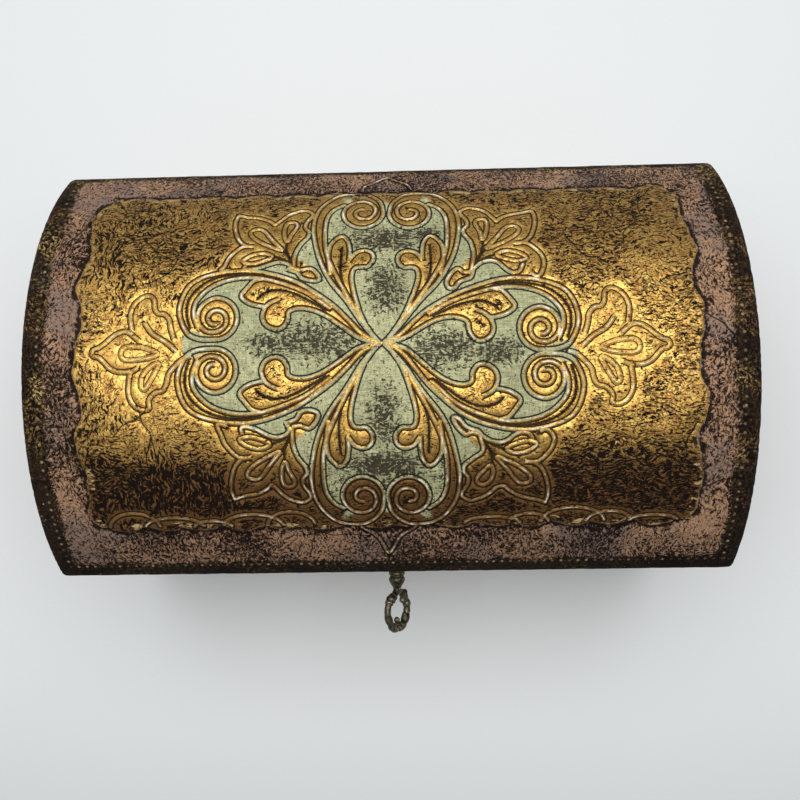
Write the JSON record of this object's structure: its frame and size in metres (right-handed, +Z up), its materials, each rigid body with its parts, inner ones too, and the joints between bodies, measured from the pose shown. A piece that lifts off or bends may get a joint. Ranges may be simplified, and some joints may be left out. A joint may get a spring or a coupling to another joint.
{
  "type": "domed casket",
  "caption": "Small domed wooden casket with a carved, gilded and painted lid, butt hinges, velvet lining, and a key-worked lock that holds the lid shut.",
  "frame": {"origin": "centre of the underside, on the surface the box stands on", "axes": "+X along the box's length, to the right as seen from the front; -Y towards the front, where the lock and its key are; +Z up"},
  "size_m": [0.204, 0.1488, 0.1112],
  "materials": {
    "gilt_wood": "gilded, painted and rubbed gesso over wood",
    "bare_wood": "bare",
    "green_baize": "napped",
    "velvet": "short pile",
    "aged_brass": "tarnished",
    "steel": "dull",
    "dark_bronze": "dark patina"
  },
  "bodies": {
    "body": {"front_panel": "gilt_wood", "back_panel": "gilt_wood", "left_panel": "gilt_wood", "right_panel": "gilt_wood", "bottom_panel": "bare_wood", "base_felt": "green_baize", "lining_floor": "velvet", "lining_front": "velvet", "lining_back": "velvet", "lining_left": "velvet", "lining_right": "velvet", "hinge_body_leaf_left": "aged_brass", "hinge_body_leaf_right": "aged_brass", "hinge_pin_left": "steel", "hinge_pin_right": "steel", "hinge_body_screws": "aged_brass", "lock_plate": "aged_brass", "lock_case": "steel", "bolt_spring": "steel", "drill_pin": "steel", "lock_screws": "steel", "escutcheon": "aged_brass", "escutcheon_pins": "aged_brass"},
    "lid": {"lid_top": "gilt_wood", "lid_front_rail": "gilt_wood", "lid_back_rail": "gilt_wood", "lid_left_end": "gilt_wood", "lid_right_end": "gilt_wood", "lid_lining_top": "velvet", "lid_lining_front": "velvet", "lid_lining_back": "velvet", "lid_lining_left": "velvet", "lid_lining_right": "velvet", "hinge_lid_leaf_left": "aged_brass", "hinge_lid_leaf_right": "aged_brass", "hinge_lid_screws": "aged_brass", "strike_plate": "aged_brass", "strike_screws": "steel"},
    "bolt": {"lock_bolt": "steel"},
    "key": {"key": "dark_bronze"}
  },
  "joints": [
    {"name": "lid_hinge", "type": "hinge", "parent": "body", "child": "lid", "pos_m": [0, 0.0603, 0.0682], "axis": [-1, 0, 0], "range_deg": [0, 98]},
    {"name": "key_turn", "type": "hinge", "parent": "body", "child": "key", "pos_m": [0, -0.07, 0.055], "axis": [0, 1, 0], "range_deg": [0, 70]},
    {"name": "bolt_throw", "type": "slide", "parent": "body", "child": "bolt", "axis": [-1, 0, 0], "range_m": [0, 0.00504]}
  ],
  "couplings": [
    {"joint": "key_turn", "follows": "bolt_throw", "rad_per_m": 242.35}
  ]
}
